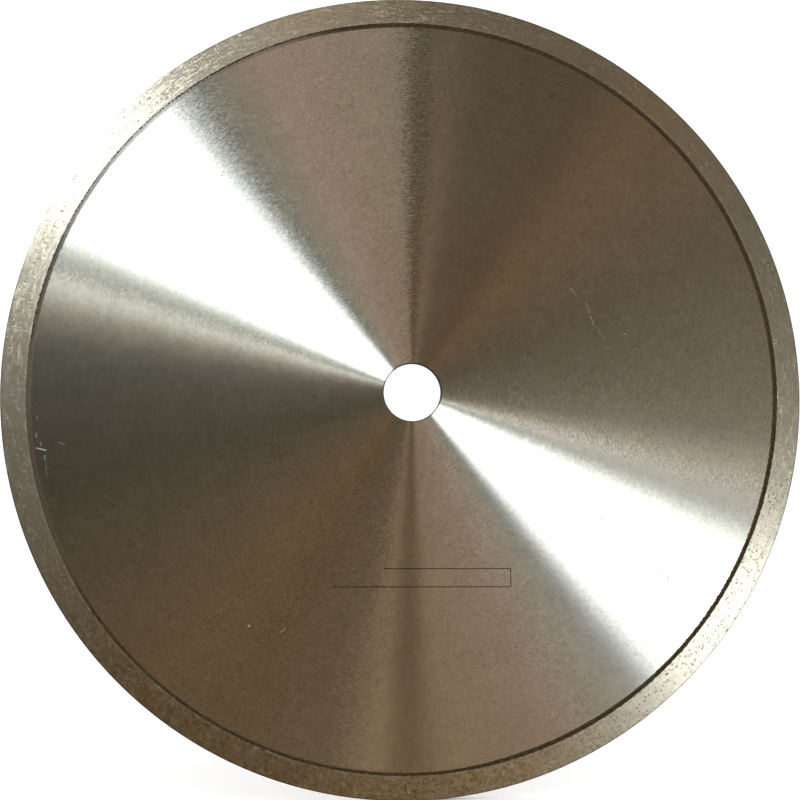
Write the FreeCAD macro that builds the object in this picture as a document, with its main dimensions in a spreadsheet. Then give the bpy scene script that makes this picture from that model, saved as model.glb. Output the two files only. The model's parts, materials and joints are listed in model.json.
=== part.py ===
import FreeCAD, Part
import Sketcher
import itertools
import math
import os
import random

from FreeCAD import Rotation, Vector

# Continuous-rim diamond blade, 14 in x 1 in bore.
# Frame: millimetres, blade upright, spin axis along Y, front face towards -Y,
# +Z up, origin at the centre of the bore on the core's middle plane.
#
# steel_core    flat steel disc, bored, with dovetail notches round its edge
# rim_root      diamond-free bond that locks into the notches and slopes from
#               the core's faces up to the rim's faces
# diamond_rim   diamond-bearing working ring
# diamond_grit  the exposed diamond crystals, each seated in its own pocket

doc = FreeCAD.newDocument("diamond_blade")

# ---------------------------------------------------------------- dimensions
# alias, value or formula, meaning
CELLS = [
    ("blade_radius", "177.8", "14 in blade over the rim"),
    ("bore_radius", "12.7", "1 in arbor bore"),
    ("bore_chamfer", "0.55", "edge break on both ends of the bore"),
    ("core_thick", "2.4", "steel core"),
    ("rim_thick", "3.2", "diamond rim, side to side"),
    ("rim_inner_radius", "167.1", "where the ground rim begins"),
    ("band_inner_radius", "165.0", "where the sloped bond leaves the core"),
    ("band_step", "0.06", "height of the bond's thin inner edge"),
    ("rim_corner", "0.2", "worn-in break on the rim's outer corners"),
    ("lap_depth", "0.05", "core is ground this much thinner per side under the bond"),
    ("lap_overrun", "1", "the lap's cut runs this far past the core"),
    ("key_count", "60", "dovetail notches in the core's edge"),
    ("key_depth", "1.5", "radial depth of a notch"),
    ("key_mouth", "2.6", "notch width at the core's edge"),
    ("key_floor", "3.8", "notch width at its floor"),
    ("key_overrun", "0.6", "a notch's cut runs this far past the core's edge"),
    ("mark_line", "0.42", "width of the etched arrow's line"),
    ("mark_depth", "0.05", "depth of the etched arrow's line"),
    ("arrow_tip_x", "-35.4", "arrow tip"),
    ("arrow_tip_z", "-85.1", "arrow tip"),
    ("arrow_barb_x", "-10.9", "end of the half head"),
    ("arrow_barb_z", "-68.9", "end of the half head"),
    ("arrow_neck_x", "-12.7", "where the half head meets the shaft"),
    ("arrow_neck_z", "-77.5", "where the half head meets the shaft"),
    ("arrow_tail_x", "43.4", "tail end of the shaft"),
    ("arrow_tail_top_z", "-78.2", "tail end, upper corner"),
    ("arrow_tail_low_z", "-86.2", "tail end, lower corner"),
    ("crystal_across", "0.56", "mean crystal size, 30/40 mesh"),
    ("crystal_spread", "0.07", "crystal sizes run this far either side"),
    ("crystal_proud", "0.07", "how far a crystal stands out of a face"),
    ("crystal_proud_edge", "0.04", "how far a crystal stands out of the edge"),
    ("face_crystals", "110", "crystals on each face"),
    ("edge_crystals", "80", "crystals round the cutting edge"),
    ("crystal_gap", "3.0", "least distance between two crystals"),
    ("face_inner_margin", "0.7", "face crystals to the rim's inner radius"),
    ("face_outer_margin", "0.5", "face crystals to the rim's corner break"),
    ("edge_margin", "0.45", "edge crystals to the rim's corner break"),
    # worked out from the cells above
    ("core_half", "=core_thick / 2", "core's face from the middle plane"),
    ("rim_half", "=rim_thick / 2", "rim's face from the middle plane"),
    ("rim_corner_half", "=rim_half - rim_corner", "outer end of the corner break"),
    ("rim_corner_radius", "=blade_radius - rim_corner", "inner end of the corner break"),
    ("band_half", "=core_half + band_step", "bond's inner edge from the middle plane"),
    ("lap_half", "=core_half - lap_depth", "lapped face from the middle plane"),
    ("lap_top", "=core_half + lap_overrun", "far side of the lap's cut"),
    ("lap_outer_radius", "=rim_inner_radius + lap_overrun", "outside of the lap's cut"),
    ("key_floor_half", "=key_floor / 2", "half the notch's floor"),
    ("key_floor_radius", "=rim_inner_radius - key_depth", "floor of the notch"),
    ("key_top_radius", "=rim_inner_radius + key_overrun", "outer end of the notch's cut"),
    (
        "key_top_half",
        "=key_mouth / 2 - (key_floor - key_mouth) / 2 / key_depth * key_overrun",
        "half the cut's width at its outer end",
    ),
]
sheet = doc.addObject("Spreadsheet::Sheet", "Dimensions")
sheet.Label = "Dimensions"
for row, (alias, value, meaning) in enumerate(CELLS, start=1):
    sheet.set("A%d" % row, meaning)
    sheet.set("B%d" % row, value)
    sheet.setAlias("B%d" % row, alias)
doc.recompute()


def cell(alias):
    return float(sheet.get(alias))


def ref(alias):
    return "Dimensions." + alias


# ------------------------------------------------------- sketches and features
def origin_item(body, role):
    return next(item for item in body.Origin.OriginFeatures if item.Role == role)


def new_body(name):
    body = doc.addObject("PartDesign::Body", name)
    body.Label = name
    return body


def new_sketch(body, name, role):
    sketch = body.newObject("Sketcher::SketchObject", name)
    sketch.AttachmentSupport = [(origin_item(body, role), "")]
    sketch.MapMode = "FlatFace"
    return sketch


def add_circle(sketch, alias):
    """A circle on the sketch's origin, its radius bound to the sheet."""
    circle = Part.Circle(Vector(0, 0, 0), Vector(0, 0, 1), cell(alias))
    index = sketch.addGeometry(circle, False)
    sketch.addConstraint(Sketcher.Constraint("Coincident", index, 3, -1, 1))
    radius = sketch.addConstraint(Sketcher.Constraint("Radius", index, cell(alias)))
    sketch.setExpression("Constraints[%d]" % radius, ref(alias))


def add_lines(sketch, corners):
    """A closed run of straight lines; returns the index of each line."""
    return [
        sketch.addGeometry(Part.LineSegment(start, end), False)
        for start, end in zip(corners, corners[1:] + corners[:1])
    ]


def add_loop(sketch, points):
    """A closed loop whose corners are pairs of aliases, each with an optional minus.

    Each coordinate is held by a distance to the origin, bound to the sheet."""

    def coordinate(name):
        alias = name.lstrip("-")
        if name.startswith("-"):
            return -cell(alias), "-" + ref(alias)
        return cell(alias), ref(alias)

    lines = add_lines(
        sketch, [Vector(coordinate(x)[0], coordinate(y)[0], 0) for x, y in points]
    )
    for line, following in zip(lines, lines[1:] + lines[:1]):
        sketch.addConstraint(Sketcher.Constraint("Coincident", line, 2, following, 1))
    for line, point in zip(lines, points):
        for kind, name in zip(("DistanceX", "DistanceY"), point):
            value, expression = coordinate(name)
            index = sketch.addConstraint(Sketcher.Constraint(kind, -1, 1, line, 1, value))
            sketch.setExpression("Constraints[%d]" % index, expression)


def finish(body, feature):
    body.Tip = feature
    doc.recompute()


def cut_through(body, name, sketch):
    cut = body.newObject("PartDesign::Pocket", name)
    cut.Profile = sketch
    cut.SideType = "Symmetric"
    cut.Type = "ThroughAll"
    finish(body, cut)
    return cut


def revolve(body, kind, name, sketch):
    """A full turn of the sketch about the spin axis, added or cut by its kind."""
    turned = body.newObject("PartDesign::" + kind, name)
    turned.Profile = sketch
    turned.ReferenceAxis = (origin_item(body, "Y_Axis"), [""])
    turned.Angle = 360.0
    finish(body, turned)


def ring_body(name, sketch_name, ring_name, section):
    body = new_body(name)
    sketch = new_sketch(body, sketch_name, "XY_Plane")
    add_loop(sketch, section)
    revolve(body, "Revolution", ring_name, sketch)
    return body


def new_cut(name, base, tool):
    cut = doc.addObject("Part::Cut", name)
    cut.Label = name
    cut.Base = base
    cut.Tool = tool
    doc.recompute()
    return cut


def require_removed(body, before, expected, tolerance):
    """Stop if a cut took away a volume far from the expected one."""
    removed = before - body.Shape.Volume
    assert abs(removed - expected) < tolerance * expected, (removed, expected)


# ------------------------------------------------------------------ the core
def add_bored_disc(core):
    disc_sketch = new_sketch(core, "DiscSketch", "XZ_Plane")
    add_circle(disc_sketch, "rim_inner_radius")
    disc = core.newObject("PartDesign::Pad", "Disc")
    disc.Profile = disc_sketch
    disc.SideType = "Symmetric"
    disc.setExpression("Length", ref("core_thick"))
    finish(core, disc)

    before = core.Shape.Volume
    bore_sketch = new_sketch(core, "BoreSketch", "XZ_Plane")
    add_circle(bore_sketch, "bore_radius")
    bore = cut_through(core, "Bore", bore_sketch)
    bore_area = math.pi * cell("bore_radius") ** 2
    require_removed(core, before, bore_area * cell("core_thick"), 0.001)

    rings = [
        "Edge%d" % i
        for i, edge in enumerate(core.Shape.Edges, start=1)
        if isinstance(edge.Curve, Part.Circle)
        and abs(edge.Curve.Radius - cell("bore_radius")) < 1e-6
    ]
    assert len(rings) == 2, rings
    chamfer = core.newObject("PartDesign::Chamfer", "BoreChamfer")
    chamfer.Base = (bore, rings)
    chamfer.setExpression("Size", ref("bore_chamfer"))
    finish(core, chamfer)


def notch_area():
    return (cell("key_mouth") + cell("key_floor")) / 2 * cell("key_depth")


def add_keys(core):
    """A dovetail notch at the top of the edge, then the same all the way round."""
    before = core.Shape.Volume
    sketch = new_sketch(core, "KeySketch", "XZ_Plane")
    add_loop(
        sketch,
        [
            ("-key_floor_half", "key_floor_radius"),
            ("key_floor_half", "key_floor_radius"),
            ("key_top_half", "key_top_radius"),
            ("-key_top_half", "key_top_radius"),
        ],
    )
    key = cut_through(core, "Key", sketch)
    keys = core.newObject("PartDesign::PolarPattern", "Keys")
    keys.Originals = [key]
    keys.Axis = (origin_item(core, "Y_Axis"), [""])
    keys.Angle = 360.0
    keys.setExpression("Occurrences", ref("key_count"))
    finish(core, keys)
    expected = cell("key_count") * notch_area() * cell("core_thick")
    require_removed(core, before, expected, 0.02)


def add_lap(core):
    """Outside the band's inner edge both faces are ground a little thinner, so
    that the bond keys over the core."""
    before = core.Shape.Volume
    sketch = new_sketch(core, "LapSection", "XY_Plane")
    for sign in ("", "-"):
        add_loop(
            sketch,
            [
                ("band_inner_radius", sign + "lap_half"),
                ("lap_outer_radius", sign + "lap_half"),
                ("lap_outer_radius", sign + "lap_top"),
                ("band_inner_radius", sign + "lap_top"),
            ],
        )
    revolve(core, "Groove", "Lap", sketch)
    ring_area = math.pi * (cell("rim_inner_radius") ** 2 - cell("band_inner_radius") ** 2)
    lapped_area = ring_area - cell("key_count") * notch_area()
    require_removed(core, before, 2 * cell("lap_depth") * lapped_area, 0.02)


def offset_outline(corners, distance):
    """A counter-clockwise outline with its sides moved outwards, corners mitred."""
    sides = []
    for start, end in zip(corners, corners[1:] + corners[:1]):
        along = end - start
        shift = Vector(along.y, -along.x, 0) * (distance / along.Length)
        sides.append((start + shift, along))
    moved = []
    for (start, along), (next_start, next_along) in zip(sides[-1:] + sides[:-1], sides):
        to_next = next_start - start
        reach = to_next.cross(next_along).z / along.cross(next_along).z
        moved.append(start + along * reach)
    return moved


def add_arrow(core):
    """Etched direction-of-rotation arrow on the front face: an outline with a
    half head, drawn as the arrow grown and shrunk by half a line."""
    outline = [
        Vector(cell("arrow_" + x), cell("arrow_" + z), 0)
        for x, z in (
            ("tip_x", "tip_z"),
            ("tail_x", "tail_low_z"),
            ("tail_x", "tail_top_z"),
            ("neck_x", "neck_z"),
            ("barb_x", "barb_z"),
        )
    ]
    before = core.Shape.Volume
    sketch = new_sketch(core, "ArrowSketch", "XZ_Plane")
    for side in (1, -1):
        add_lines(sketch, offset_outline(outline, side * cell("mark_line") / 2))
    # The sketch's normal points to -Y, so this offset puts it in the front face.
    sketch.setExpression("AttachmentOffset.Base.z", ref("core_half"))
    mark = core.newObject("PartDesign::Pocket", "Arrow")
    mark.Profile = sketch
    mark.Type = "Length"
    mark.setExpression("Length", ref("mark_depth"))
    finish(core, mark)
    run = sum((end - start).Length for start, end in zip(outline, outline[1:] + outline[:1]))
    require_removed(core, before, run * cell("mark_line") * cell("mark_depth"), 0.1)


def build_core():
    core = new_body("steel_core")
    add_bored_disc(core)
    add_keys(core)
    add_lap(core)
    add_arrow(core)
    return core


# ------------------------------------------------------------- the rim's root
def build_root(core):
    """A sloped ring with the core taken out of it: the bond is left on both
    faces and in every notch, so the rim can't slip round or pull off."""
    blank = ring_body(
        "RootBlank",
        "RootSection",
        "RootRing",
        [
            ("band_inner_radius", "-band_half"),
            ("rim_inner_radius", "-rim_half"),
            ("rim_inner_radius", "rim_half"),
            ("band_inner_radius", "band_half"),
        ],
    )
    return new_cut("rim_root", blank, core)


# --------------------------------------------------------------- the diamonds
# A crystal is a cube and an octahedron together: 24 corners, being every order
# and sign of (0, 1, 2), and 14 flat facets.
CORNERS = []
for order in itertools.permutations((0, 1, 2)):
    for signs in itertools.product((1, -1), repeat=3):
        corner = Vector(*(a * b for a, b in zip(order, signs)))
        if corner not in CORNERS:
            CORNERS.append(corner)
CUBE_NORMALS = [
    axis * sign
    for axis in (Vector(1, 0, 0), Vector(0, 1, 0), Vector(0, 0, 1))
    for sign in (1, -1)
]
OCTAHEDRON_NORMALS = [Vector(*signs) for signs in itertools.product((1, -1), repeat=3)]
NOMINAL_ACROSS = 4.2  # a crystal's nominal size in the units of CORNERS


def facet_loop(normal):
    """Indices of the corners furthest along the normal, in order round the facet."""
    reach = max(corner.dot(normal) for corner in CORNERS)
    ids = [i for i, corner in enumerate(CORNERS) if abs(corner.dot(normal) - reach) < 1e-9]
    middle = Vector(0, 0, 0)
    for i in ids:
        middle = middle + CORNERS[i] * (1.0 / len(ids))
    across = CORNERS[ids[0]] - middle
    up = normal.cross(across) * (1.0 / normal.Length)

    def angle(i):
        arm = CORNERS[i] - middle
        return math.atan2(arm.dot(up), arm.dot(across))

    # The first corner's own angle is exactly where the loop starts.
    return sorted(ids, key=angle)


FACET_LOOPS = [facet_loop(normal) for normal in CUBE_NORMALS + OCTAHEDRON_NORMALS]


def crystal(surface_point, outward, across, proud, rng):
    """One crystal turned at random, its highest corner standing proud of the surface."""
    turn = Rotation(
        Vector(rng.gauss(0, 1), rng.gauss(0, 1), rng.gauss(0, 1)), rng.uniform(0, 360)
    )
    corners = [turn.multVec(corner * (across / NOMINAL_ACROSS)) for corner in CORNERS]
    reach = max(corner.dot(outward) for corner in corners)
    centre = surface_point + outward * (proud - reach)
    corners = [corner + centre for corner in corners]
    facets = [
        Part.Face(Part.makePolygon([corners[i] for i in loop + loop[:1]]))
        for loop in FACET_LOOPS
    ]
    return Part.Solid(Part.Shell(facets))


def build_grit():
    """The crystals as one fixed shape; it doesn't follow later edits of the sheet."""
    rng = random.Random(14)
    taken = []
    crystals = []
    across, spread, gap = (
        cell("crystal_" + name) for name in ("across", "spread", "gap")
    )
    low_radius = cell("rim_inner_radius") + cell("face_inner_margin")
    high_radius = cell("rim_corner_radius") - cell("face_outer_margin")
    edge_reach = cell("rim_corner_half") - cell("edge_margin")

    def scatter(total, spot, proud):
        """One crystal in each equal slice of the ring keeps the blade in balance."""
        made = 0
        while made < total:
            angle = (made + rng.random()) / total * 2 * math.pi
            point, outward = spot(Vector(math.cos(angle), 0, math.sin(angle)))
            if any((point - other).Length < gap for other in taken):
                continue
            taken.append(point)
            size = across + rng.uniform(-1, 1) * spread
            crystals.append(crystal(point, outward, size, proud, rng))
            made += 1

    def edge_spot(radial):
        offset = Vector(0, rng.uniform(-1, 1) * edge_reach, 0)
        return radial * cell("blade_radius") + offset, radial

    for side in (-1, 1):
        outward = Vector(0, side, 0)

        def face_spot(radial):
            radius = math.sqrt(rng.uniform(low_radius**2, high_radius**2))
            return radial * radius + outward * cell("rim_half"), outward

        scatter(int(cell("face_crystals")), face_spot, cell("crystal_proud"))
    scatter(int(cell("edge_crystals")), edge_spot, cell("crystal_proud_edge"))

    grit = doc.addObject("Part::Feature", "diamond_grit")
    grit.Label = "diamond_grit"
    grit.Shape = Part.Compound(crystals)
    doc.recompute()
    return grit, len(crystals)


# ------------------------------------------------------------ the working rim
def build_rim(grit, crystal_count):
    blank = ring_body(
        "RimBlank",
        "RimSection",
        "RimRing",
        [
            ("rim_inner_radius", "-rim_half"),
            ("rim_corner_radius", "-rim_half"),
            ("blade_radius", "-rim_corner_half"),
            ("blade_radius", "rim_corner_half"),
            ("rim_corner_radius", "rim_half"),
            ("rim_inner_radius", "rim_half"),
        ],
    )
    rim = new_cut("diamond_rim", blank, grit)
    # every crystal leaves at least four pocket walls in the ring
    assert len(rim.Shape.Faces) >= len(blank.Shape.Faces) + 4 * crystal_count
    return rim


# ------------------------------------------------------------------- writing
core = build_core()
root = build_root(core)
grit, crystal_count = build_grit()
rim = build_rim(grit, crystal_count)

for obj in doc.Objects:
    if "Invalid" in obj.State or "Error" in obj.State:
        raise RuntimeError("%s is %s" % (obj.Name, obj.State))

os.makedirs("parts", exist_ok=True)
for obj, solids in ((core, 1), (root, 1), (rim, 1), (grit, crystal_count)):
    if obj.Shape.isNull() or not obj.Shape.isValid():
        raise RuntimeError(obj.Label + " has no valid shape")
    if len(obj.Shape.Solids) != solids:
        raise RuntimeError("%s has %d solids" % (obj.Label, len(obj.Shape.Solids)))
    obj.Shape.exportStep("parts/" + obj.Label + ".step")
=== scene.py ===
"""A diamond saw blade: a ground steel core with a bore, a sintered diamond rim and a sloped
band of bond between them. It lies in the XZ plane, centred on the origin with its axis
along Y. The front faces -Y, where the camera is; seen from there X is right and Z is up.
Bearings are in degrees from +X towards +Z, anticlockwise as the camera sees them.
"""
import itertools
import json
import math
from functools import reduce
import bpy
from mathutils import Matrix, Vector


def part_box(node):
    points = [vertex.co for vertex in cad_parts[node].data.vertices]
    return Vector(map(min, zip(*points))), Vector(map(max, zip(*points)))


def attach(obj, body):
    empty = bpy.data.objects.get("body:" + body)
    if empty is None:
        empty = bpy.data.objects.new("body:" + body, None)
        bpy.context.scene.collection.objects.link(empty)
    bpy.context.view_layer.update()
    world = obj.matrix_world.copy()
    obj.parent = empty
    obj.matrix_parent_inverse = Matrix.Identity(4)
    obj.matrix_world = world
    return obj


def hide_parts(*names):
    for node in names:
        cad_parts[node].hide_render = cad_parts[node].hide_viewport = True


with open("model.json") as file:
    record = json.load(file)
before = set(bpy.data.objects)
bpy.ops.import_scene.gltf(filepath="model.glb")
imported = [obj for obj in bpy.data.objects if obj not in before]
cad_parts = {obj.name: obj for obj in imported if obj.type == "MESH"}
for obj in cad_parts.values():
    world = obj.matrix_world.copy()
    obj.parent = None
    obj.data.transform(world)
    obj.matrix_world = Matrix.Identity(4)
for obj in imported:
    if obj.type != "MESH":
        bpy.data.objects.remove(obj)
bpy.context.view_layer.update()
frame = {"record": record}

from types import SimpleNamespace

import bmesh
import bpy
import numpy as np
from mathutils import Matrix, Vector, geometry

MM = 0.001
TAU = 2 * math.pi


# ------------------------------------------------------------------ driving sizes
def half_size(node, axis):
    low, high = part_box(node)
    return (getattr(high, axis) - getattr(low, axis)) / 2


RIM_R = half_size("diamond_rim", "x")           # outer radius of the blade
RIM_HALF = half_size("diamond_rim", "y")        # half the rim's thickness
CORE_HALF = half_size("steel_core", "y")        # half the core's thickness
BAND_WIDTH = 2.1 * MM                           # width of the sloped bond
BAND_R = half_size("rim_root", "x") - BAND_WIDTH    # where the bond leaves the core
EDGE_R = BAND_R + BAND_WIDTH                    # the core's edge, where the rim begins
BORE_R = frame["record"]["mounts"][0]["dims"]["r_mm"] * MM

# Notches in the core's edge, wider at the floor than at the mouth
KEYS = 60
KEY_DEPTH = 1.5 * MM
KEY_MOUTH = 2.6 * MM
KEY_FLOOR = 3.8 * MM
KEY_MOUTH_R = math.sqrt(EDGE_R**2 - (KEY_MOUTH / 2) ** 2)
ARC_STEPS = 14                                  # along the edge between two notches

BORE_STEPS = 256
BREAK = 0.55 * MM                               # radius of the rounded edges of the bore
BREAK_STEPS = 5
BORE_WALL_STEPS = 6

# The etched arrow's outline on the front face: x, z in millimetres
ARROW = [(-35.4, -85.1), (43.4, -86.2), (43.4, -78.2), (-12.7, -77.5), (-10.9, -68.9)]
ARROW_LINE = 0.42 * MM
ARROW_DEPTH = 0.05 * MM

ROUND_STEPS = 2160                              # round the rim and the bond
ROUND = np.arange(ROUND_STEPS) / ROUND_STEPS * TAU
FACE_STEPS = 20                                 # across each face of the rim
RIM_EDGE_STEPS = 5                              # across the rim's outer edge
CORNER_STEPS = 4
CORNER = 0.2 * MM                               # radius of the rim's outer corners
SLOPE_STEPS = 7                                 # up the bond's slope

FACE_CRYSTALS = 1800                            # on each face
EDGE_CRYSTALS = 780                             # on the outer edge

rng = np.random.default_rng(14)


# ------------------------------------------------------------------ mesh helpers
def linked(name, data):
    ob = bpy.data.objects.new(name, data)
    bpy.context.scene.collection.objects.link(ob)
    return ob


def mesh_object(name, verts, faces, smooth):
    mesh = bpy.data.meshes.new(name)
    mesh.from_pydata([tuple(v) for v in verts], [], [tuple(f) for f in faces])
    mesh.validate()
    bm = bmesh.new()
    bm.from_mesh(mesh)
    bmesh.ops.recalc_face_normals(bm, faces=bm.faces)
    bm.to_mesh(mesh)
    bm.free()
    mesh.update()
    mesh.polygons.foreach_set("use_smooth", smooth)
    return linked(name, mesh)


def level(y):
    return np.full(ROUND_STEPS, y)


def ring_verts(sections, side=1):
    """Points of a ring round the axis. Each section is a radius array and a y array."""
    cos, sin = np.cos(ROUND), np.sin(ROUND)
    rows = [np.stack([r * cos, side * y, r * sin], 1) for r, y in sections]
    return np.stack(rows, 1).reshape(-1, 3)


def ring_faces(count):
    """Quads of a ring whose cross-section is a closed loop of count points."""
    here = np.arange(ROUND_STEPS)
    after = (here + 1) % ROUND_STEPS
    faces = []
    for j in range(count):
        k = (j + 1) % count
        loop = [here * count + j, after * count + j, after * count + k, here * count + k]
        faces.append(np.stack(loop, 1))
    return np.concatenate(faces)


def scatter():
    return rng.standard_normal(ROUND_STEPS)


def periodic_noise(cycles, octaves):
    """A smooth random curve round the ring that closes on itself, about -1 to 1."""
    curve = np.zeros(ROUND_STEPS)
    total = 0
    for octave in range(octaves):
        for _ in range(6):
            waves = max(1, int(round(cycles * 2**octave * (0.6 + 0.8 * rng.random()))))
            curve += np.cos(waves * ROUND + TAU * rng.random()) / 2**octave / 6**0.5
        total += 1 / 2**octave
    return curve / total


def key_corners(index):
    """The four x, z corners of one notch: mouth, floor, floor, mouth."""
    bearing = TAU * index / KEYS
    cos, sin = math.cos(bearing), math.sin(bearing)
    floor_r = EDGE_R - KEY_DEPTH
    corners = [
        (KEY_MOUTH_R, -KEY_MOUTH / 2),
        (floor_r, -KEY_FLOOR / 2),
        (floor_r, KEY_FLOOR / 2),
        (KEY_MOUTH_R, KEY_MOUTH / 2),
    ]
    return [(r * cos - across * sin, r * sin + across * cos) for r, across in corners]


# ------------------------------------------------------------------ the steel core
def grown(points, by):
    """The closed outline moved outward; inward if by is negative."""
    pairs = list(zip(points, points[1:] + points[:1]))
    area = sum(ax * bz - bx * az for (ax, az), (bx, bz) in pairs)
    turn = 1.0 if area > 0 else -1.0
    lines = []
    for (ax, az), (bx, bz) in pairs:
        dx, dz = bx - ax, bz - az
        size = math.hypot(dx, dz)
        lines.append((ax + dz / size * turn * by, az - dx / size * turn * by, dx, dz))
    corners = []
    for i, (qx, qz, ex, ez) in enumerate(lines):
        px, pz, dx, dz = lines[i - 1]
        k = ((qx - px) * ez - (qz - pz) * ex) / (dx * ez - dz * ex)
        corners.append((px + k * dx, pz + k * dz))
    return corners


def bore_circle(radius):
    turns = [TAU * i / BORE_STEPS for i in range(BORE_STEPS)]
    return [(radius * math.cos(turn), radius * math.sin(turn)) for turn in turns]


def keyed_edge():
    """The core's outer edge: notches with arcs between them."""
    points = []
    half_mouth = math.asin(KEY_MOUTH / 2 / EDGE_R)
    for key in range(KEYS):
        points += key_corners(key)
        middle = TAU * key / KEYS
        start, end = middle + half_mouth, middle + TAU / KEYS - half_mouth
        for i in range(1, ARC_STEPS):
            a = start + (end - start) * i / ARC_STEPS
            points.append((EDGE_R * math.cos(a), EDGE_R * math.sin(a)))
    return points


def fill(loops, keep):
    """Triangles between closed loops. keep(x, z) says which to keep."""
    verts, edges = [], []
    for loop in loops:
        first = len(verts)
        verts += loop
        edges += [(first + i, first + (i + 1) % len(loop)) for i in range(len(loop))]
    scale = 1000.0
    points, _, tris, origins, _, _ = geometry.delaunay_2d_cdt(
        [Vector((x * scale, z * scale)) for x, z in verts], edges, [], 0, 1e-6
    )
    # no point may be merged or added, or the faces would not match the loops
    assert len(points) == len(verts), (len(points), len(verts))
    kept = []
    for tri in tris:
        mid_x = sum(points[i].x for i in tri) / len(tri) / scale
        mid_z = sum(points[i].y for i in tri) / len(tri) / scale
        if keep(mid_x, mid_z):
            ids = [origins[i][0] for i in tri]
            (ax, az), (bx, bz), (cx, cz) = (verts[i] for i in ids[:3])
            if (bx - ax) * (cz - az) - (cx - ax) * (bz - az) < 0:
                ids.reverse()
            kept.append(ids)
    return verts, kept


def inside(outline, x, z):
    hit = False
    for i, (x1, z1) in enumerate(outline):
        x2, z2 = outline[i - 1]
        if (z1 > z) != (z2 > z) and x < (x2 - x1) * (z - z1) / (z2 - z1) + x1:
            hit = not hit
    return hit


def bore_profile():
    """Radius and y down the bore: rounded edge, wall, rounded edge."""

    def rounded(side, angle):
        return (
            BORE_R + BREAK * (1 - math.sin(angle)),
            side * (CORE_HALF - BREAK * (1 - math.cos(angle))),
        )

    steps = BREAK_STEPS
    front = [rounded(-1, math.pi / 2 * s / steps) for s in range(1, steps + 1)]
    height = 2 * CORE_HALF - 2 * BREAK
    wall = [
        (BORE_R, -CORE_HALF + BREAK + height * s / BORE_WALL_STEPS)
        for s in range(1, BORE_WALL_STEPS)
    ]
    back = [rounded(1, math.pi / 2 * (1 - s / steps)) for s in range(steps)]
    return front + wall + back


def build_core():
    edge = keyed_edge()
    mouth = bore_circle(BORE_R + BREAK)
    arrow = [(x * MM, z * MM) for x, z in ARROW]
    outer, inner = grown(arrow, ARROW_LINE / 2), grown(arrow, -ARROW_LINE / 2)

    def in_disc(x, z):
        return math.hypot(x, z) > BORE_R + BREAK * 0.99 and inside(edge, x, z)

    def off_arrow(x, z):
        return in_disc(x, z) and (inside(inner, x, z) or not inside(outer, x, z))

    # front face, with the arrow's line left open
    flat, faces = fill([edge, mouth, outer, inner], off_arrow)
    verts = [(x, -CORE_HALF, z) for x, z in flat]
    # the line's floor and walls
    mark = len(edge) + BORE_STEPS
    floor = len(verts)
    verts += [(x, -CORE_HALF + ARROW_DEPTH, z) for x, z in outer + inner]
    k = len(outer)
    for i in range(k):
        j = (i + 1) % k
        faces.append((floor + i, floor + j, floor + k + j, floor + k + i))
        faces.append((mark + i, mark + j, floor + j, floor + i))
        faces.append((floor + k + i, floor + k + j, mark + k + j, mark + k + i))
    # back face
    flat, tris = fill([edge, mouth], in_disc)
    back = len(verts)
    verts += [(x, CORE_HALF, z) for x, z in flat]
    faces += [tuple(back + i for i in reversed(tri)) for tri in tris]
    # notched edge
    for i in range(len(edge)):
        j = (i + 1) % len(edge)
        faces.append((j, i, back + i, back + j))
    # bore
    starts = [len(edge)]
    for radius, y in bore_profile():
        starts.append(len(verts))
        verts += [(x, y, z) for x, z in bore_circle(radius)]
    starts.append(back + len(edge))
    flat_count = len(faces)
    for a, b in zip(starts, starts[1:]):
        for i in range(BORE_STEPS):
            j = (i + 1) % BORE_STEPS
            faces.append((a + i, a + j, b + j, b + i))
    smooth = [i >= flat_count for i in range(len(faces))]
    return mesh_object("core_disc", verts, faces, smooth)


# ------------------------------------------------------------------ the diamond rim
def ragged():
    """How far the rim's inner edge strays from its circle."""
    return 0.10 * MM * periodic_noise(240, 3) + 0.06 * MM * scatter()


def rim_face(side, rag):
    rows = []
    inner = EDGE_R + rag
    for i in range(FACE_STEPS + 1):
        k = max((i - 1) / (FACE_STEPS - 1), 0.0)
        radius = inner + (0.05 * MM if i == 1 else 0.0) + (RIM_R - CORNER - inner) * k
        if 1 < i < FACE_STEPS:
            jitter = rng.uniform(-0.3, 0.3, ROUND_STEPS)
            radius = radius + jitter * (RIM_R - EDGE_R) / FACE_STEPS
        if i > 1:
            sunk = 0.006 * MM * scatter()
            pits = rng.random(ROUND_STEPS) < 0.02
            sunk = sunk + pits * rng.uniform(0.04, 0.16, ROUND_STEPS) * MM
        else:
            sunk = (0.03, 0.008)[i] * MM * np.abs(scatter())
        rows.append((radius, side * (RIM_HALF - np.maximum(sunk, 0))))
    return rows


def rim_corner(side, wear):
    """The rounded outer corner, from the face towards the edge."""
    rows = []
    for s in range(1, CORNER_STEPS):
        a = math.pi / 2 * s / CORNER_STEPS
        radius = RIM_R - CORNER + CORNER * math.sin(a) - wear * 0.6 * math.sin(2 * a)
        rows.append((radius, level(side * (RIM_HALF - CORNER * (1 - math.cos(a))))))
    return rows


def rim_edge():
    rows = []
    for s in range(RIM_EDGE_STEPS + 1):
        y = -RIM_HALF + CORNER + (2 * RIM_HALF - 2 * CORNER) * s / RIM_EDGE_STEPS
        pits = rng.random(ROUND_STEPS) < 0.03
        radius = RIM_R - np.abs(0.008 * MM * scatter())
        radius = radius - pits * rng.uniform(0.03, 0.12, ROUND_STEPS) * MM
        rows.append((radius, level(y)))
    return rows


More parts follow.
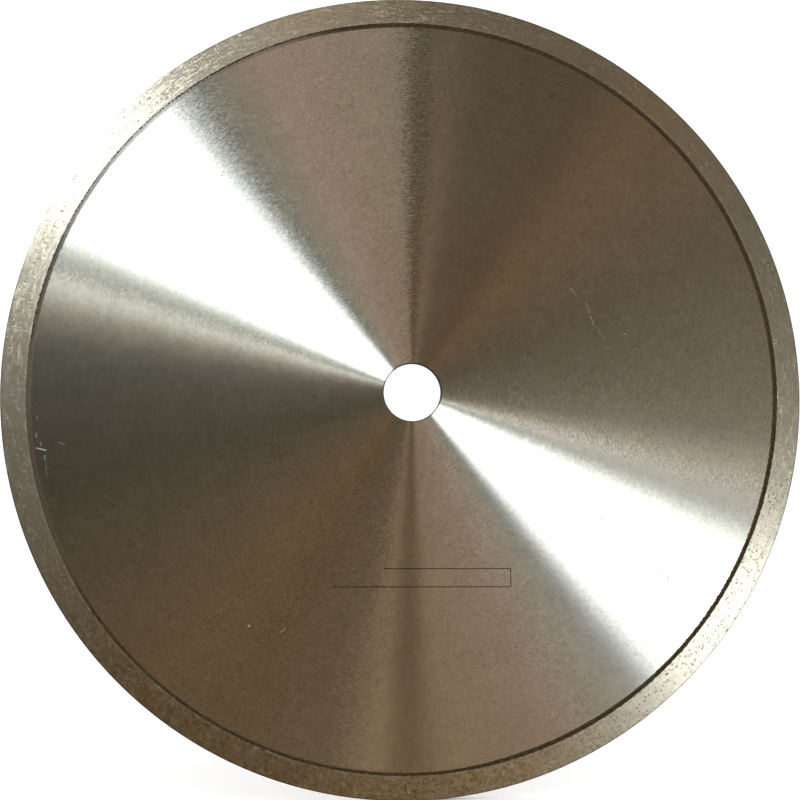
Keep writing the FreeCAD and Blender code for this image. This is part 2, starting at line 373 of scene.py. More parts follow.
def build_rim():
    front = rim_face(-1, rag_front)
    back = rim_face(1, rag_back)
    sections = front + rim_corner(-1, worn) + rim_edge()
    sections += rim_corner(1, worn[::-1])[::-1] + back[::-1]
    # inside, against the core's edge and the bond
    sections += [
        (EDGE_R + rag_back, level(CORE_HALF + 0.02 * MM)),
        (level(EDGE_R), level(CORE_HALF)),
        (level(EDGE_R), level(-CORE_HALF)),
        (EDGE_R + rag_front, level(-CORE_HALF - 0.02 * MM)),
    ]
    faces = ring_faces(len(sections))
    return mesh_object("rim_ring", ring_verts(sections), faces, [True] * len(faces))


# ------------------------------------------------------------------ the sloped bond
def bond_sections(rag):
    inner = BAND_R + 0.06 * MM * periodic_noise(170, 2) + 0.04 * MM * scatter()
    outer = EDGE_R + rag
    sections = [(inner, level(CORE_HALF))]
    for i in range(SLOPE_STEPS + 1):
        k = i / SLOPE_STEPS
        lift = 0.015 * MM + (RIM_HALF - CORE_HALF - 0.02 * MM) * k**1.6
        bump = 0.028 * MM * scatter() * math.sin(math.pi * k)
        y = CORE_HALF + np.maximum(lift + bump, 0.005 * MM)
        sections.append((inner + (outer - inner) * k, y))
    return sections + [(outer, level(CORE_HALF))]


def build_bond():
    verts, faces = [], []
    for side, rag in ((-1, rag_front), (1, rag_back)):
        sections = bond_sections(rag)
        quads = ring_faces(len(sections))
        if side > 0:
            quads = quads[:, ::-1]
        faces += [tuple(quad) for quad in quads + len(verts)]
        verts += list(ring_verts(sections, side))
    ring_count = len(faces)
    # plugs of bond in the core's notches
    plug = [(0, 1, 2, 3), (7, 6, 5, 4)]
    plug += [(i, i + 4, (i + 1) % 4 + 4, (i + 1) % 4) for i in range(4)]
    for key in range(KEYS):
        faces += [tuple(len(verts) + i for i in face) for face in plug]
        for y in (-CORE_HALF, CORE_HALF):
            verts += [(x, y, z) for x, z in key_corners(key)]
    return mesh_object("bond_band", verts, faces, [i < ring_count for i in range(len(faces))])


# ------------------------------------------------------------------ the diamond crystals
def crystal_shape():
    """Corners and face loops of a truncated octahedron."""
    corners = []
    for order in itertools.permutations((0, 1, 2)):
        for signs in itertools.product((1, -1), repeat=3):
            p = tuple(a * b for a, b in zip(order, signs))
            if p not in corners:
                corners.append(p)
    corners = np.array(corners, float)
    normals = [tuple(s if k == axis else 0 for k in range(3)) for axis in range(3) for s in (1, -1)]
    normals += list(itertools.product((1, -1), repeat=3))
    loops = []
    for normal in normals:
        reach = 2 if sum(abs(c) for c in normal) == 1 else 3
        ids = [i for i, p in enumerate(corners) if abs(p @ np.array(normal) - reach) < 1e-9]
        mid = corners[ids].mean(0)
        u = corners[ids[0]] - mid
        u /= np.linalg.norm(u)
        w = np.cross(np.array(normal) / np.linalg.norm(normal), u)

        def bearing(i):
            return math.atan2((corners[i] - mid) @ w, (corners[i] - mid) @ u)

        loops.append(sorted(ids, key=bearing))
    return corners, loops


def random_turns(n):
    """Rotation matrices from random unit quaternions."""
    q = rng.standard_normal((n, 4))
    q /= np.linalg.norm(q, axis=1)[:, None]
    a, b, c, d = q.T
    return np.stack([
        np.stack([1 - 2 * (c * c + d * d), 2 * (b * c - a * d), 2 * (b * d + a * c)], 1),
        np.stack([2 * (b * c + a * d), 1 - 2 * (b * b + d * d), 2 * (c * d - a * b)], 1),
        np.stack([2 * (b * d - a * c), 2 * (c * d + a * b), 1 - 2 * (b * b + c * c)], 1),
    ], 1)


def crystals(corners, points, outward, proud):
    """Crystals sunk in the surface at points, each standing proud by its own height."""
    size = rng.uniform(0.36, 0.56, len(points)) * MM / 4.2
    shapes = np.einsum("nij,kj->nki", random_turns(len(points)), corners) * size[:, None, None]
    reach = np.einsum("nkj,nj->nk", shapes, outward).max(1)
    centres = points + outward * (proud - reach)[:, None]
    return shapes + centres[:, None, :]


def build_grit():
    corners, loops = crystal_shape()
    made = []
    n = FACE_CRYSTALS
    margin = 0.5 * MM
    for side in (-1, 1):
        a = rng.random(n) * TAU
        r = np.sqrt(rng.uniform((EDGE_R + margin) ** 2, (RIM_R - margin) ** 2, n))
        points = np.stack([r * np.cos(a), np.full(n, side * RIM_HALF), r * np.sin(a)], 1)
        outward = np.tile((0.0, side, 0.0), (n, 1))
        made.append(crystals(corners, points, outward, rng.uniform(0.02, 0.07, n) * MM))
    n = EDGE_CRYSTALS
    a = rng.random(n) * TAU
    y = rng.uniform(-1, 1, n) * (RIM_HALF - 0.55 * MM)
    points = np.stack([RIM_R * np.cos(a), y, RIM_R * np.sin(a)], 1)
    outward = np.stack([np.cos(a), np.zeros(n), np.sin(a)], 1)
    made.append(crystals(corners, points, outward, rng.uniform(0.01, 0.04, n) * MM))
    made = np.concatenate(made)
    faces = [
        tuple(len(corners) * k + i for i in loop) for k in range(len(made)) for loop in loops
    ]
    return mesh_object("diamond_crystals", made.reshape(-1, 3), faces, [False] * len(faces))


core = build_core()
# the rim and the bond meet along the same ragged edges
rag_front = ragged()
rag_back = ragged()
worn = 0.05 * MM * np.abs(scatter()) + 0.03 * MM * periodic_noise(40, 3)
rim = build_rim()
bond = build_bond()
grit = build_grit()

for ob, node, slot in (
    (core, "steel_core", "core_steel"),
    (rim, "diamond_rim", "rim_matrix"),
    (bond, "rim_root", "root_bond"),
    (grit, "diamond_grit", "diamond"),
):
    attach(ob, "root")
    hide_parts(node)


# ------------------------------------------------------------------ shader helpers
class Field:
    """A node's output. Each operator or method adds one node fed by it."""

    def __init__(self, tree, socket):
        self.tree = tree
        self.socket = socket

    def __add__(self, other):
        return self.tree.math("ADD", self, other)

    def __radd__(self, other):
        return self.tree.math("ADD", other, self)

    def __sub__(self, other):
        return self.tree.math("SUBTRACT", self, other)

    def __rsub__(self, other):
        return self.tree.math("SUBTRACT", other, self)

    def __mul__(self, other):
        return self.tree.math("MULTIPLY", self, other)

    def __truediv__(self, other):
        return self.tree.math("DIVIDE", self, other)

    def __lt__(self, other):
        return self.tree.math("LESS_THAN", self, other)

    def __gt__(self, other):
        return self.tree.math("GREATER_THAN", self, other)

    def __abs__(self):
        return self.tree.math("ABSOLUTE", self)

    def larger(self, other):
        return self.tree.math("MAXIMUM", self, other)

    def scaled(self, times, plus):
        return self.tree.math("MULTIPLY_ADD", self, times, plus)

    def ramp(self, start, end, low=0.0, high=1.0, kind="LINEAR"):
        """Goes from low to high as the value goes from start to end."""
        ends = {"From Min": start, "From Max": end, "To Min": low, "To Max": high}
        return self.tree.add(
            "ShaderNodeMapRange", {"Value": self, **ends}, "Result", interpolation_type=kind
        )

    def fade(self, start, end, low=0.0):
        """Falls smoothly from 1 to low."""
        return self.ramp(start, end, low=1.0, high=low, kind="SMOOTHSTEP")


class Tree:
    """Short ways to add and join shader nodes."""

    def __init__(self, owner):
        owner.use_nodes = True
        self.tree = owner.node_tree
        self.tree.nodes.clear()

    def put(self, socket, value):
        if isinstance(value, Field):
            self.tree.links.new(value.socket, socket)
        elif value is not None:
            socket.default_value = value

    def add(self, kind, inputs=None, output=0, **props):
        node = self.tree.nodes.new(kind)
        for name, value in props.items():
            setattr(node, name, value)
        for name, value in (inputs or {}).items():
            self.put(node.inputs[name], value)
        return Field(self, node.outputs[output])

    def end(self, shader, kind="ShaderNodeOutputMaterial"):
        self.put(self.tree.nodes.new(kind).inputs["Surface"], shader)

    def math(self, op, a, b=None, c=None, clamp=False):
        inputs = dict(enumerate((a, b, c)))
        return self.add("ShaderNodeMath", inputs, operation=op, use_clamp=clamp)

    def length(self, a, b):
        return self.math("SQRT", a * a + b * b)

    def vec(self, op, a, b=None):
        output = "Value" if op in ("LENGTH", "DOT_PRODUCT", "DISTANCE") else "Vector"
        return self.add("ShaderNodeVectorMath", {0: a, 1: b}, output, operation=op)

    def scale(self, vector, factor):
        inputs = {0: vector, "Scale": factor}
        return self.add("ShaderNodeVectorMath", inputs, "Vector", operation="SCALE")

    def split(self, vector):
        node = self.tree.nodes.new("ShaderNodeSeparateXYZ")
        self.put(node.inputs[0], vector)
        return [Field(self, socket) for socket in node.outputs]

    def join(self, x, y, z):
        return self.add("ShaderNodeCombineXYZ", {0: x, 1: y, 2: z})

    def noise(self, vector, size, detail=2.0, rough=0.5):
        inputs = {"Vector": vector, "Scale": 1 / size, "Detail": detail, "Roughness": rough}
        return self.add("ShaderNodeTexNoise", inputs, "Fac")

    def cells(self, vector, size):
        return self.add("ShaderNodeTexVoronoi", {"Vector": vector, "Scale": 1 / size}, "Distance")

    def mix(self, factor, a, b):
        inputs = {"Factor": factor, "A": a, "B": b}
        return self.add("ShaderNodeMix", inputs, "Result", data_type="RGBA")

    def cover(self, factor, under, over):
        return self.add("ShaderNodeMixShader", {0: factor, 1: under, 2: over})

    def principled(self, colour, roughness, **more):
        """More inputs are named with _ for each space."""
        inputs = {"Base Color": colour, "Roughness": roughness}
        inputs.update((name.replace("_", " "), value) for name, value in more.items())
        return self.add("ShaderNodeBsdfPrincipled", inputs)


def rgb(*display):
    """A display colour, 0 to 255, as linear light."""
    shares = [c / 255 for c in display]
    return (*(c / 12.92 if c <= 0.04045 else ((c + 0.055) / 1.055) ** 2.4 for c in shares), 1.0)


def new_material(name):
    material = bpy.data.materials.new(name)
    return material, Tree(material)


def place_in(tree):
    """Where a shaded point is, in millimetres, and the disc's directions there."""
    coords = tree.add("ShaderNodeTexCoord", output="Object")
    x, y, z = tree.split(tree.scale(coords, 1000.0))
    flat = tree.join(x, 0.0, z)
    radial = tree.vec("NORMALIZE", flat)
    return SimpleNamespace(
        tree=tree, x=x, y=y, z=z,
        radius=tree.vec("LENGTH", flat),
        radial=radial,
        around=tree.vec("CROSS_PRODUCT", radial, (0, 1, 0)),
        point=tree.join(x, y, z),
        normal=tree.add("ShaderNodeNewGeometry", output="Normal"),
    )


def flat_point(at):
    return at.tree.join(at.x, 0.0, at.z)


def direction(bearing):
    return (math.cos(math.radians(bearing)), 0.0, math.sin(math.radians(bearing)))


def near_line(at, ax, az, bx, bz, width):
    """1 on the line from a to b, falling to 0 within its width."""
    dx, dz = bx - ax, bz - az
    px, pz = at.x - ax, at.z - az
    along = at.tree.math("DIVIDE", px * dx + pz * dz, dx * dx + dz * dz, clamp=True)
    away = at.tree.length(px - along * dx, pz - along * dz)
    return away.fade(start=width * 0.5, end=width * 1.3)


def grind_lines(at, length, width, rough, shift=0.0, detail=2.0):
    """Noise drawn out along the grinding: about length long and width wide."""
    tree = at.tree
    stretched = tree.join(at.x / length, at.radius / width + shift, at.z / length)
    side = tree.math("SIGN", at.y) * 7.3        # so front and back differ
    moved = tree.vec("ADD", stretched, tree.join(side, side, side))
    return tree.noise(moved, size=1.0, detail=detail, rough=rough)


def sector(at, mid, half, soft):
    """1 within half degrees of the bearing mid, falling to 0 over the next soft degrees."""
    flat = at.tree.vec("NORMALIZE", flat_point(at))
    lean = at.tree.vec("DOT_PRODUCT", flat, direction(mid))
    away = at.tree.math("ARCCOSINE", lean) * 57.2958
    return away.fade(start=half, end=half + soft)


def tilted(at, normal, along, across):
    """The normal turned a little along and across the grinding direction."""
    tree = at.tree
    normal = tree.vec("ADD", normal, tree.scale(at.around, along))
    normal = tree.vec("ADD", normal, tree.scale(at.radial, across))
    return tree.vec("NORMALIZE", normal)


def metal(at, colour, rough, normal, share, spread, stretch):
    """Steel ground in circles: light spreads across the lines and hardly at all along them.

    share is how much of the Beckmann gloss shows, spread and stretch its roughness
    and anisotropy.
    """
    base = at.tree.principled(
        colour, rough, Metallic=1.0, Anisotropic=1.0, Tangent=at.radial, Normal=normal
    )
    inputs = {
        "Color": colour, "Roughness": spread, "Anisotropy": stretch,
        "Tangent": at.around, "Normal": normal,
    }
    gloss = at.tree.add("ShaderNodeBsdfAnisotropic", inputs, distribution="BECKMANN")
    return at.tree.cover(share, base, gloss)


# ------------------------------------------------------------------ core material
# Scratches on the front face, in millimetres: x, z, to x, z, width, strength (0 to 1)
SCRATCHES = [
    (72.2, 47.0, 74.3, 44.0, 0.20, 0.45), (78.8, 40.7, 80.7, 35.9, 0.20, 0.40),
    (80.9, 34.6, 82.4, 30.3, 0.22, 0.55), (83.9, 29.4, 87.7, 23.7, 0.20, 0.28),
    (88.8, 20.3, 88.9, 20.1, 0.36, 0.60), (96.4, 26.6, 96.7, 26.6, 0.36, 0.80),
    (-162.2, -24.1, -158.5, -25.0, 0.34, 0.90), (-162.5, -18.0, -162.4, -19.3, 0.50, 0.28),
    (-160.7, -21.4, -160.5, -22.8, 0.40, 0.30), (-158.9, -27.3, -158.7, -28.8, 0.42, 0.34),
    (-158.4, -30.5, -157.9, -35.6, 0.40, 0.18), (-153.0, -21.6, -150.7, -22.5, 0.30, 0.26),
    (-162.2, -10.5, -162.2, -11.4, 0.40, 0.26), (-58.1, -104.4, -55.8, -102.8, 0.20, 0.60),
    (-71.7, -101.5, -71.3, -101.1, 0.42, 1.00), (-31.0, 94.0, -24.0, 90.5, 0.14, 0.20),
    (118.0, 62.0, 126.0, 70.0, 0.13, 0.16), (-96.0, -62.0, -88.0, -70.0, 0.14, 0.20),
]
# Pin holes on the front face, in millimetres: x, z, size
PINHOLES = [
    (68.6, -45.9, 0.42), (84.8, -56.2, 0.50), (82.0, -53.5, 0.36), (92.9, -66.1, 0.42),
    (109.6, -80.5, 0.46), (112.4, -82.0, 0.40), (114.6, -83.3, 0.52), (104.2, -71.0, 0.34),
    (-84.0, 96.0, 0.36), (-101.0, 88.5, 0.34), (31.0, -120.5, 0.36), (140.2, -20.0, 0.34),
]
STEEL = rgb(206, 200, 190)


def etched_arrow(at, grain, grain_off):
    """Where the arrow's etched line is, and how dark it is along its length."""
    depth = at.y + CORE_HALF * 1000
    etched = depth.ramp(start=0.012, end=0.04) * (at.y < 0.0)
    etched = etched * at.radius.ramp(start=60.0, end=62.0)
    # the head's diagonal is faint and dotted, the shaft is still clear; the head's short return
    # line is nearly left out, a painted highlight where the light streak washes it out
    tip = (at.x < -13.2) * (at.z > -84.5)
    streak_hidden_barb = (at.x < -9.0) * (at.z > -76.9)
    streak_hidden_barb = streak_hidden_barb * (at.x > -13.2)
    shaft = (at.x + grain_off * 6.0).ramp(start=-36.0, end=-30.0, low=0.35, high=0.84)
    shaft = shaft * (1.0 - tip.larger(streak_hidden_barb))
    dots = grain.ramp(start=0.47, end=0.55) * 0.46
    return etched, shaft + tip * dots + streak_hidden_barb * 0.10


def core_scratches(at, fine, grain):
    front = at.y < 0.0
    drawn = (near_line(at, *line) * strength for *line, strength in SCRATCHES)
    scratch = reduce(Field.larger, drawn) * front
    scratch = scratch * grain.ramp(start=0.25, end=0.5, low=0.45)
    scratch = scratch.larger(fine.ramp(start=0.55, end=0.78) * 0.15)
    holes = (
        at.tree.vec("DISTANCE", flat_point(at), (x, 0.0, z)).fade(start=size * 0.6, end=size * 1.2)
        for x, z, size in PINHOLES
    )
    return scratch, reduce(Field.larger, holes) * front


def core_material():
    material, tree = new_material("ground_steel_core")
    at = place_in(tree)
    fine = grind_lines(at, length=1.6, width=0.37, rough=0.65)
    broad = grind_lines(at, length=5.0, width=1.3, rough=0.5, shift=31.0)
    sweep = grind_lines(at, length=60.0, width=6.0, rough=0.5, shift=57.0, detail=1.0)
    mottle = tree.noise(at.point, size=17.0, detail=4.0, rough=0.6)
    blotch = tree.noise(at.point, size=2.2, rough=0.6)
    grain = tree.noise(at.point, size=0.75, rough=0.7)
    # the same about zero
    fine_off, broad_off, sweep_off, grain_off = fine - 0.5, broad - 0.5, sweep - 0.5, grain - 0.5

    # how much each pattern lightens and darkens
    brightness = fine_off.scaled(times=0.74, plus=1.0) + broad_off * 0.09 + sweep_off * 0.05
    brightness = brightness + grain_off * 0.30 + (mottle - 0.5) * 0.18 + (blotch - 0.5) * 0.26
    colour = tree.scale(STEEL[:3], brightness)

    # a painted reflection: a thin warm tint above and right of the bore; an oily tint here and
    # there;
    # and the left darker and greener
    reflection_mottle = tree.noise(at.point, size=9.0, detail=3.0, rough=0.65)
    near = tree.vec("DISTANCE", at.point, (14.0, 0.0, 52.0)).fade(start=6.0, end=46.0)
    warm_tint = near * reflection_mottle.ramp(start=0.42, end=0.68) * 0.22
    colour = tree.mix(warm_tint, colour, rgb(196, 158, 128))
    oily = tree.noise(at.point, size=40.0).ramp(start=0.45, end=0.75) * 0.10
    colour = tree.mix(oily, colour, rgb(190, 186, 160))
    left_dimming = sector(at, mid=186.0, half=6.0, soft=18.0)
    colour = tree.mix(left_dimming, colour, tree.vec("MULTIPLY", colour, (0.78, 0.83, 0.82)))

    etched, darkness = etched_arrow(at, grain, grain_off)
    colour = tree.mix(etched * darkness, colour, rgb(82, 65, 46))
    # base value, then the share of the streaks and of the etching
    rough = 0.32 + (broad - 0.5) * 0.10 + etched * 0.2

    scratch, hole = core_scratches(at, fine, grain)
    speck = (tree.cells(at.point, size=6.5) < 0.034) * grain.ramp(start=0.45, end=0.6)
    dark_spots = hole.larger(speck * 0.6) * 0.85
    colour = tree.mix(dark_spots, colour, rgb(70, 60, 48))
    in_bore = at.radius.ramp(start=13.15, end=12.9) * 1.0 * 0.30
    colour = tree.mix(in_bore, colour, rgb(120, 112, 100))

    # the lean along the lines frays them, the lean across them gives their relief
    along = fine_off * 0.036 + broad_off * 0.002 + sweep_off * 0.0
    across = fine_off * 0.10 + broad_off * 0.05
    normal = tilted(at, at.normal, along, across)
    shader = metal(at, colour, rough, normal, share=0.92, spread=0.24, stretch=0.87)
    # scratches cross the grinding, so they catch light that the ground face doesn't
    scratched = tree.principled(rgb(214, 208, 196), roughness=0.5, Metallic=1.0)
    shader = tree.cover(scratch * 0.85, shader, scratched)

    # painted shade in the bore and on its edge: a dark matt cover, thinner at the lower left
    lean = tree.vec("DOT_PRODUCT", flat_point(at), direction(238))
    shade_thinning = lean.ramp(start=4.0, end=12.0, low=1.0, high=0.45)
    dark = (at.radius + grain_off * 0.25).ramp(start=13.30, end=13.14) * shade_thinning * 0.92
    black = tree.scale(rgb(44, 40, 33)[:3], grain_off.scaled(times=1.0, plus=1.0))
    shade_cover = tree.principled(black, roughness=0.6, Specular_IOR_Level=0.15)
    tree.end(tree.cover(dark, shader, shade_cover))
    return material


# ------------------------------------------------------------------ rim material
def rim_pits(at, grain, painted_pit_shade):
    """The mesh's own hollows, smaller pits, and the steep inner wall."""
    tree = at.tree
    face_depth = RIM_HALF * 1000 - abs(at.y)
    edge_depth = RIM_R * 1000 - at.radius
    hollow = tree.math("MINIMUM", face_depth, edge_depth).ramp(start=0.035, end=0.10)
    cell = tree.cells(at.point, size=1.9) - painted_pit_shade * 0.12
    small = cell.ramp(start=0.22, end=0.13) * grain.ramp(start=0.46, end=0.54)
    # fewer at the upper left, a painted highlight where the light is strongest
    small = small * sector(at, mid=142.0, half=10.0, soft=10.0).scaled(times=-0.7, plus=1.0)
    steep = abs(tree.split(at.normal)[1]).ramp(start=0.93, end=0.70)
    return hollow.larger(small * 0.85).larger(steep * (at.radius < EDGE_R * 1000 + 1.0))


def rim_material():
    material, tree = new_material("sintered_rim")
    at = place_in(tree)
    fine = grind_lines(at, length=3.6, width=0.50, rough=0.6, shift=11.0) - 0.5
    drag = grind_lines(at, length=9.0, width=1.7, rough=0.55, shift=23.0) - 0.5
    grain = tree.noise(at.point, size=0.9, detail=3.0, rough=0.7)
    grain_off = grain - 0.5
    cloud = tree.noise(at.point, size=6.0, detail=3.0, rough=0.6) - 0.5

    # brown stain on the lowest part of the rim, with a coarser, darker mottle
    low = sector(at, mid=254.0, half=26.0, soft=36.0)
    warm_tint = tree.math("MULTIPLY", low, cloud.scaled(times=1.2, plus=0.85), clamp=True)
    blotch = tree.noise(at.point, size=1.9, rough=0.65)
    # how much each pattern lightens and darkens
    brightness = grain_off.scaled(times=0.50, plus=1.0) + fine * 0.46 + drag * 0.16 + cloud * 0.16
    brightness = brightness + warm_tint.scaled(times=1.5, plus=0.40) * (blotch - 0.5)
    colour = tree.scale(rgb(214, 206, 187)[:3], brightness)
    browned = tree.vec("MULTIPLY", colour, (0.62, 0.53, 0.38))
    colour = tree.mix(warm_tint * 0.90, colour, browned)
    # brassy specks in the bond
    speck = tree.noise(at.point, size=1.1, rough=0.8).ramp(start=0.60, end=0.72)
    colour = tree.mix(speck * 0.25, colour, rgb(186, 152, 108))

    # painted shade: more pits, and darker ones, on the lower right, where the highlight falls
    painted_pit_shade = sector(at, mid=322.0, half=20.0, soft=12.0)
    pit = rim_pits(at, grain, painted_pit_shade)
    # crumbled bond along the inner edge
    crumbs = tree.noise(at.point, size=1.0, rough=0.75).ramp(start=0.52, end=0.62)
    ridge = at.radius.ramp(start=EDGE_R * 1000 + 1.3, end=EDGE_R * 1000 + 0.2) * crumbs
    # painted shade on the outer corner, where it turns away at the edge of the blade, less dark at
    # the front's upper left, where the highlight falls
    key_lit_side = sector(at, mid=142.0, half=14.0, soft=10.0) * (at.y < 0.0)
    corner_shade = at.radius.ramp(start=RIM_R * 1000 - 0.65, end=RIM_R * 1000 - 0.1)
    corner_shade = corner_shade * key_lit_side.scaled(times=-0.70, plus=0.88)
    colour = tree.mix(corner_shade, colour, rgb(84, 72, 56))

    # how much each pattern roughens the metal and turns its normal
    rough = 0.46 + grain_off * 0.25
    along = grain_off * 0.09 + fine * 0.26 + drag * 0.15
    across = (tree.noise(at.point, size=0.8, rough=0.7) - 0.5) * 0.20
    normal = tilted(at, at.normal, along, across)
    shader = metal(at, colour, rough, normal, share=0.5, spread=0.36, stretch=0.74)
    # matt swarf packed in the pits, darker at the bottom of the blade, and painted darker as shade
    # on the lower right, where the highlight falls
    swarf = tree.mix(painted_pit_shade, rgb(112, 102, 83), rgb(84, 75, 58))
    shade = grain_off.scaled(times=0.6, plus=1.0) * low.scaled(times=-0.50, plus=1.0)
    packed = tree.principled(tree.scale(swarf, shade), roughness=0.8, Specular_IOR_Level=0.2)
    shader = tree.cover(pit * 0.9, shader, packed)
    crumbled = tree.principled(rgb(142, 136, 122), roughness=0.7)
    tree.end(tree.cover(ridge * 0.55, shader, crumbled))
    return material


# ------------------------------------------------------------------ bond material
# Where the painted shade on the bond is thin, on the slope facing the key: middle bearing, half
# width, soft edge, share taken off
KEY_LIT_SLOPE = [(118.0, 5.0, 14.0, 0.72), (150.0, 16.0, 10.0, 0.17), (133.0, 5.0, 8.0, 0.14)]


def bond_material():
    material, tree = new_material("as_sintered_bond")
    at = place_in(tree)
    rag = tree.noise(at.point, size=0.9, detail=3.0, rough=0.75)
    rag_off = rag - 0.5
    grain = tree.noise(at.point, size=0.5, rough=0.7) - 0.5
    inner, outer = BAND_R * 1000, EDGE_R * 1000
    # 0 at the core, 1 at the rim, with a ragged boundary
    climb = at.radius.ramp(start=inner, end=outer) + rag_off * 0.80
    # the dark crust, partly oxide and partly painted shade, covers all of the slope on the right,
    # which faces away from the key, part on the upper left, none on the left
    shade_cover = 1.0
    for mid, half, soft, share in KEY_LIT_SLOPE:
        shade_cover = shade_cover - sector(at, mid, half, soft) * share
    shade_cover = shade_cover * (1.0 - sector(at, mid=190.0, half=12.0, soft=14.0))
    # at the lower left it begins further out
    bare = sector(at, mid=240.0, half=34.0, soft=14.0) * 0.30
    shade_cover = shade_cover * (climb - bare).ramp(start=0.02, end=0.16)
    # a broken black line under the rim's edge, painted shade on the wall that faces away from the
    # key at the upper left, where the slope is thinly covered
    line = at.radius.ramp(start=outer - 0.95, end=outer - 0.70) * rag.ramp(start=0.40, end=0.50)
    line = line * sector(at, mid=136.0, half=34.0, soft=8.0)
    shade_cover = shade_cover.larger(line * 0.95)

    steel = tree.scale(STEEL[:3], 0.96 + grain * 0.3)
    # the slope is slight where the bond is thin, so the light on it is the core's
    facing = tree.join(0.0, tree.math("SIGN", at.y) * 6.0, 0.0)
    flattened = tree.vec("NORMALIZE", tree.vec("ADD", at.normal, facing))
    normal = tilted(at, flattened, along=grain * 0.06, across=rag_off * 0.10)
    shader = metal(at, steel, 0.36, normal, share=0.92, spread=0.26, stretch=0.85)
    shade = rag_off.scaled(times=3.6, plus=grain.scaled(times=2.0, plus=1.0)).larger(0.15)
    brown = tree.scale(tree.mix(line, rgb(58, 46, 28), rgb(34, 28, 20)), shade)
    crust = tree.principled(brown, roughness=0.75, Specular_IOR_Level=0.08, Normal=normal)
    tree.end(tree.cover(shade_cover, shader, crust))
    return material


# ------------------------------------------------------------------ crystal material
def grit_material():
    material, tree = new_material("diamond_crystals")
    point = tree.scale(tree.add("ShaderNodeTexCoord", output="Object"), 1000.0)
    vary = tree.noise(point, size=0.9, detail=1.0)
    colour = tree.mix(vary.ramp(start=0.35, end=0.65), rgb(104, 94, 74), rgb(140, 130, 104))
    rough = vary.ramp(start=0.3, end=0.7, low=0.25, high=0.50)
    tree.end(tree.principled(colour, rough, IOR=2.1))
    return material


core.data.materials.append(core_material())
rim.data.materials.append(rim_material())
bond.data.materials.append(bond_material())
grit.data.materials.append(grit_material())

# ------------------------------------------------------------------ light
# The ring of light that the ground steel reflects: bearing, then red, green, blue strength
LIGHT = [
    (0, 0.40, 0.34, 0.25), (25, 0.24, 0.20, 0.14), (51, 0.24, 0.17, 0.10),
    (60, 0.10, 0.08, 0.06), (90, 0.04, 0.05, 0.03), (92, 0.43, 0.41, 0.34),
    (114, 0.54, 0.42, 0.36), (126, 0.07, 0.09, 0.04), (130, 1.35, 1.55, 1.65),
    (155, 3.45, 3.70, 4.00), (158, 0.50, 0.74, 0.53), (160, 0.20, 0.23, 0.21),
    (163, 1.66, 1.81, 1.78), (167, 0.24, 0.22, 0.17), (172, 0.003, 0.016, 0.02),
    (190, 0.001, 0.001, 0.001), (242, 0.21, 0.14, 0.06), (257, 0.26, 0.18, 0.11),
    (264, 0.53, 0.39, 0.24), (267.5, 0.25, 0.16, 0.08), (271.5, 0.20, 0.11, 0.04),
    (274, 0.30, 0.19, 0.08), (290, 0.31, 0.23, 0.14), (303, 0.54, 0.50, 0.43),
    (308, 0.13, 0.13, 0.11), (314, 2.55, 2.70, 2.80), (333, 2.55, 2.70, 2.80),
    (338, 0.93, 1.00, 0.96), (341, 0.40, 0.33, 0.30), (346, 0.90, 0.86, 0.73),
    (352, 0.47, 0.41, 0.33), (360, 0.40, 0.34, 0.25),
]
LIGHT_TOP = 6.0                         # the ramp holds strengths as a share of this
LIGHT_CENTRE = (0.0910, 0.0578)         # x and z of the direction the ring is centred on
KEY_LIGHT = 2.0                         # strength of the key box
KEY_COLOUR = (0.93, 1.0, 1.08)
ROOM = 1.12                             # even light for all but glossy rays


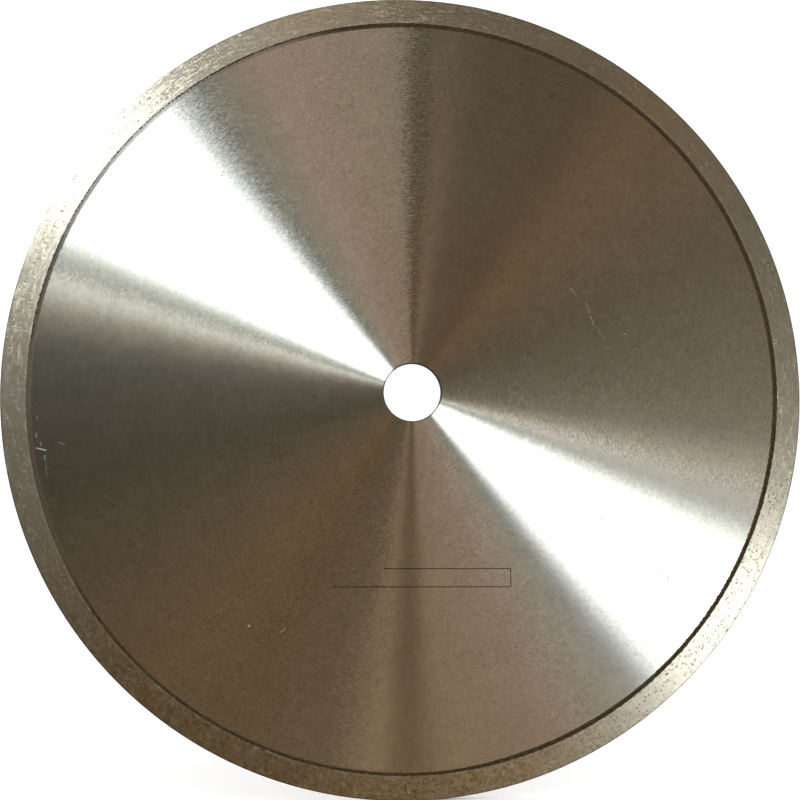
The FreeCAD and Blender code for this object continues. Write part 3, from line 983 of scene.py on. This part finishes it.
def build_world():
    world = bpy.data.worlds.new("studio")
    bpy.context.scene.world = world
    tree = Tree(world)
    x, _, z = tree.split(tree.add("ShaderNodeTexCoord", output="Generated"))
    dx, dz = x - LIGHT_CENTRE[0], z - LIGHT_CENTRE[1]
    turn = tree.math("FRACT", tree.math("ARCTAN2", dz, dx) / TAU + 1.0)
    ring = tree.add("ShaderNodeValToRGB", {0: turn})
    ramp = ring.socket.node.color_ramp
    ramp.interpolation = "LINEAR"
    for i in range(2, len(LIGHT)):
        ramp.elements.new(i / len(LIGHT))
    for element, (bearing, *strengths) in zip(ramp.elements, LIGHT):
        element.position = bearing / 360
        element.color = (*(strength / LIGHT_TOP for strength in strengths), 1.0)
    # the boxes stand round the camera, so near the centre there is little light
    off = tree.length(dx, dz)
    fade = off.ramp(start=0.03, end=0.14, low=0.25, kind="SMOOTHSTEP")
    # the key box adds to the upper left's light
    key = turn.ramp(start=129.5 / 360, end=133.5 / 360)
    key = key * turn.ramp(start=154.5 / 360, end=150.0 / 360)
    key_light = tree.scale(KEY_COLOUR, key * KEY_LIGHT)
    seen = tree.scale(tree.vec("ADD", tree.scale(ring, LIGHT_TOP), key_light), fade)
    glossy = tree.add("ShaderNodeLightPath", output="Is Glossy Ray")
    colour = tree.mix(glossy, (ROOM, ROOM, ROOM, 1.0), seen)
    background = tree.add("ShaderNodeBackground", {"Color": colour})
    tree.end(background, "ShaderNodeOutputWorld")


build_world()


# ------------------------------------------------------------------ floor
def build_floor():
    mesh = bpy.data.meshes.new("floor")
    half = 6.0
    z = -RIM_R - 0.0001                 # just under the blade
    corners = [(-half, -half, z), (half, -half, z), (half, half, z), (-half, half, z)]
    mesh.from_pydata(corners, [], [(0, 1, 2, 3)])
    ob = linked("floor", mesh)
    material, tree = new_material("pale_floor")
    matt = tree.add("ShaderNodeBsdfDiffuse", {"Color": (0.96, 0.96, 0.96, 1)})
    glow = tree.add("ShaderNodeEmission", {"Strength": 0.13})
    tree.end(tree.add("ShaderNodeAddShader", {0: matt, 1: glow}))
    mesh.materials.append(material)
    ob.visible_glossy = False


build_floor()

# ------------------------------------------------------------------ camera
# The blade's X and Z in camera axes (right, down, forward)
BLADE_X = Vector((0.9968, 0.0, 0.0797)).normalized()
BLADE_Z = Vector((-0.0041, -0.9987, 0.0509)).normalized()
# The centre of the blade's front face in camera axes
BLADE_CENTRE = Vector((0.0311, -0.0191, 2.521)) * RIM_R


def build_camera():
    camera = bpy.data.cameras.new("camera")
    camera.sensor_width = 36.0
    camera.lens = 45.4995
    camera.clip_start = 0.01
    ob = linked("camera", camera)
    axes = (BLADE_X, BLADE_Z.cross(BLADE_X), BLADE_Z)
    rows = [
        (axis.x, -axis.y, -axis.z, -axis.dot(BLADE_CENTRE) - front)
        for axis, front in zip(axes, (0.0, RIM_HALF, 0.0))
    ]
    ob.matrix_world = Matrix((*rows, (0, 0, 0, 1)))
    bpy.context.scene.camera = ob


build_camera()
bpy.context.scene.view_settings.view_transform = "Standard"
bpy.context.scene.view_settings.look = "None"
